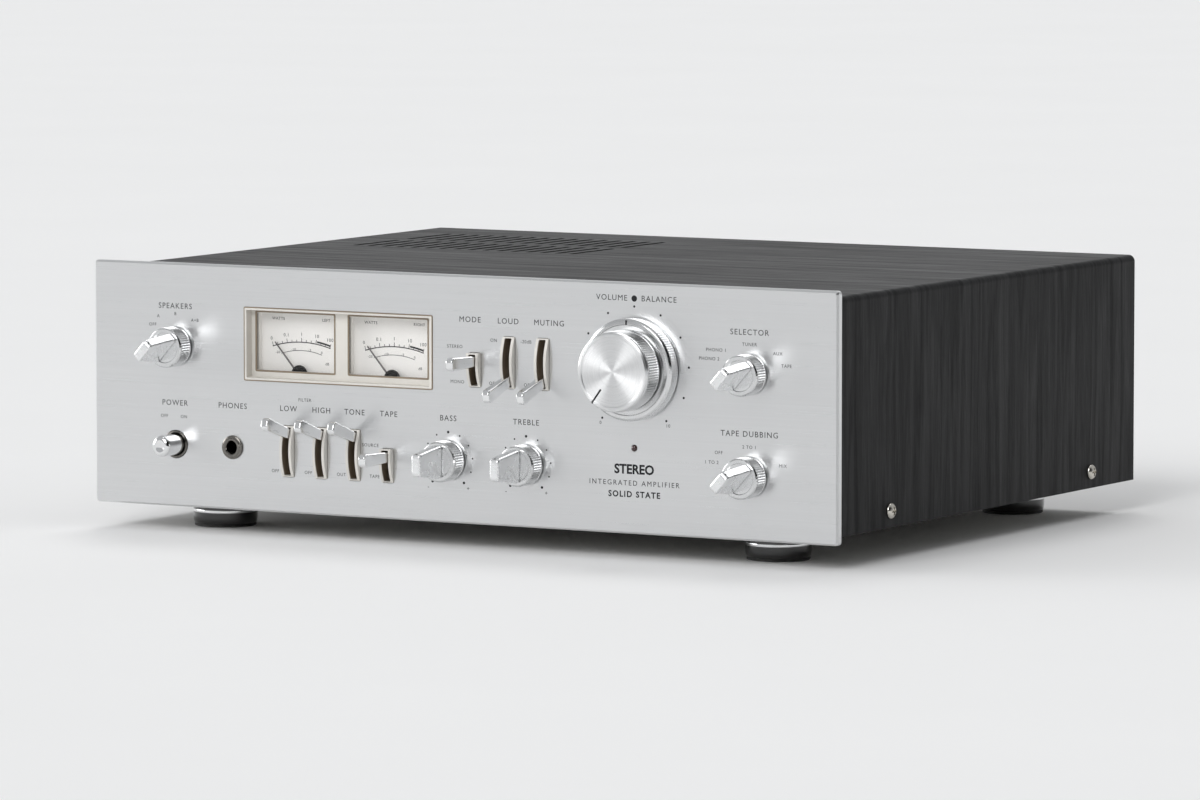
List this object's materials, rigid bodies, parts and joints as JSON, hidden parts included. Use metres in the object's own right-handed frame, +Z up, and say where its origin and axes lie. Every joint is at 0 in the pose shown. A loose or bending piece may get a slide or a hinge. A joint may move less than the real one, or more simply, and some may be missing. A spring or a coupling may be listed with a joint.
{
  "type": "integrated amplifier",
  "caption": "Silver-faced integrated stereo amplifier with needle meters, lever switches, a large volume knob in a balance ring and a black wrap-round case.",
  "frame": {"origin": "middle of the footprint, knobs included, on the surface that the feet stand on", "axes": "+X to the right of someone facing the front panel, +Y from the front panel to the back, +Z up"},
  "size_m": [0.44, 0.3746, 0.14],
  "materials": {
    "panel": "brushed along its length, clear anodised",
    "champagne": "satin champagne plastic",
    "window": "clear acrylic",
    "dial": "matt cream printed dial",
    "needle": "satin dark grey",
    "spun": "spun faces with a fine turned grain",
    "chrome": "bright polished plating",
    "lamp": "dark red translucent, unlit",
    "case": "black vinyl-clad steel with a wood-grain emboss along its width",
    "rear": "satin dark grey paint",
    "zinc": "zinc plated",
    "black_plastic": "satin black plastic",
    "foot": "glossy black plastic with a rubber pad",
    "brass": "nickel over brass, worn",
    "core": "varnished laminations and a taped winding",
    "capacitor": "blue shrink sleeve",
    "heatsink": "black anodised extrusion",
    "board": "brown phenolic board"
  },
  "bodies": {
    "chassis": {"front_panel": "panel", "meter_frame": "champagne", "lever_bezel_upper": "champagne", "lever_bezel_lower": "champagne", "meter_window": "window", "meter_left": "dial", "meter_right": "dial", "phones_jack": "chrome", "case_screw_front_left": "chrome", "case_screw_front_right": "chrome", "case_screw_rear_left": "chrome", "case_screw_rear_right": "chrome", "power_lamp": "lamp", "case_cover": "case", "rear_panel": "rear", "chassis_tray": "zinc", "front_subpanel": "zinc", "input_jacks": "zinc", "volume_pot": "zinc", "bass_pot": "zinc", "treble_pot": "zinc", "speakers_switch": "zinc", "selector_switch": "zinc", "dubbing_switch": "zinc", "power_bezel": "black_plastic", "power_switch": "black_plastic", "switch_bank_upper": "black_plastic", "switch_bank_lower": "black_plastic", "speaker_terminals": "black_plastic", "ac_outlet": "black_plastic", "fuse_holder": "black_plastic", "cord_gland": "black_plastic", "foot_front_left": "foot", "foot_front_right": "foot", "foot_rear_left": "foot", "foot_rear_right": "foot", "ground_post": "brass", "transformer": "core", "filter_capacitor_left": "capacitor", "filter_capacitor_right": "capacitor", "heatsink": "heatsink", "power_board": "board", "preamp_board": "board"},
    "volume": {"volume_knob": "spun"},
    "balance": {"balance_ring": "spun"},
    "speakers": {"speakers_knob": "spun"},
    "bass": {"bass_knob": "spun"},
    "treble": {"treble_knob": "spun"},
    "selector": {"selector_knob": "spun"},
    "dubbing": {"dubbing_knob": "spun"},
    "mode": {"lever_mode": "chrome"},
    "loudness": {"lever_loudness": "chrome"},
    "muting": {"lever_muting": "chrome"},
    "low_filter": {"lever_low_filter": "chrome"},
    "high_filter": {"lever_high_filter": "chrome"},
    "tone": {"lever_tone": "chrome"},
    "monitor": {"lever_monitor": "chrome"},
    "needle_left": {"needle_left": "needle"},
    "needle_right": {"needle_right": "needle"},
    "power": {"power_button": "chrome"}
  },
  "joints": [
    {"name": "volume_turn", "type": "hinge", "parent": "chassis", "child": "volume", "pos_m": [0.104, -0.16475, 0.0965], "axis": [0, 1, 0], "range_deg": [0, 288]},
    {"name": "balance_turn", "type": "hinge", "parent": "chassis", "child": "balance", "pos_m": [0.104, -0.15975, 0.0965], "axis": [0, 1, 0], "range_deg": [-140, 140]},
    {"name": "speakers_turn", "type": "hinge", "parent": "chassis", "child": "speakers", "pos_m": [-0.17, -0.16475, 0.0965], "axis": [0, 1, 0], "range_deg": [-90, 0]},
    {"name": "bass_turn", "type": "hinge", "parent": "chassis", "child": "bass", "pos_m": [-0.005, -0.16475, 0.045], "axis": [0, 1, 0], "range_deg": [-140, 140]},
    {"name": "treble_turn", "type": "hinge", "parent": "chassis", "child": "treble", "pos_m": [0.041, -0.16475, 0.045], "axis": [0, 1, 0], "range_deg": [-140, 140]},
    {"name": "selector_turn", "type": "hinge", "parent": "chassis", "child": "selector", "pos_m": [0.17, -0.16475, 0.0965], "axis": [0, 1, 0], "range_deg": [-120, 0]},
    {"name": "dubbing_turn", "type": "hinge", "parent": "chassis", "child": "dubbing", "pos_m": [0.17, -0.16475, 0.045], "axis": [0, 1, 0], "range_deg": [-90, 0]},
    {"name": "mode_flip", "type": "hinge", "parent": "chassis", "child": "mode", "pos_m": [0.011, -0.12825, 0.0965], "axis": [1, 0, 0], "range_deg": [0, 18]},
    {"name": "loudness_flip", "type": "hinge", "parent": "chassis", "child": "loudness", "pos_m": [0.031, -0.12825, 0.0965], "axis": [1, 0, 0], "range_deg": [-36, 0]},
    {"name": "muting_flip", "type": "hinge", "parent": "chassis", "child": "muting", "pos_m": [0.051, -0.12825, 0.0965], "axis": [1, 0, 0], "range_deg": [-36, 0]},
    {"name": "low_filter_flip", "type": "hinge", "parent": "chassis", "child": "low_filter", "pos_m": [-0.101, -0.12825, 0.045], "axis": [1, 0, 0], "range_deg": [0, 36]},
    {"name": "high_filter_flip", "type": "hinge", "parent": "chassis", "child": "high_filter", "pos_m": [-0.081, -0.12825, 0.045], "axis": [1, 0, 0], "range_deg": [0, 36]},
    {"name": "tone_flip", "type": "hinge", "parent": "chassis", "child": "tone", "pos_m": [-0.061, -0.12825, 0.045], "axis": [1, 0, 0], "range_deg": [0, 36]},
    {"name": "monitor_flip", "type": "hinge", "parent": "chassis", "child": "monitor", "pos_m": [-0.041, -0.12825, 0.045], "axis": [1, 0, 0], "range_deg": [0, 18]},
    {"name": "needle_left_swing", "type": "hinge", "parent": "chassis", "child": "needle_left", "pos_m": [-0.0995, -0.14545, 0.0828], "axis": [0, 1, 0], "range_deg": [0, 82], "stiffness_Nm_per_rad": 0.0002},
    {"name": "needle_right_swing", "type": "hinge", "parent": "chassis", "child": "needle_right", "pos_m": [-0.0435, -0.14545, 0.0828], "axis": [0, 1, 0], "range_deg": [0, 82], "stiffness_Nm_per_rad": 0.0002},
    {"name": "power_press", "type": "slide", "parent": "chassis", "child": "power", "axis": [0, 1, 0], "range_m": [0, 0.004], "stiffness_N_per_m": 300}
  ]
}
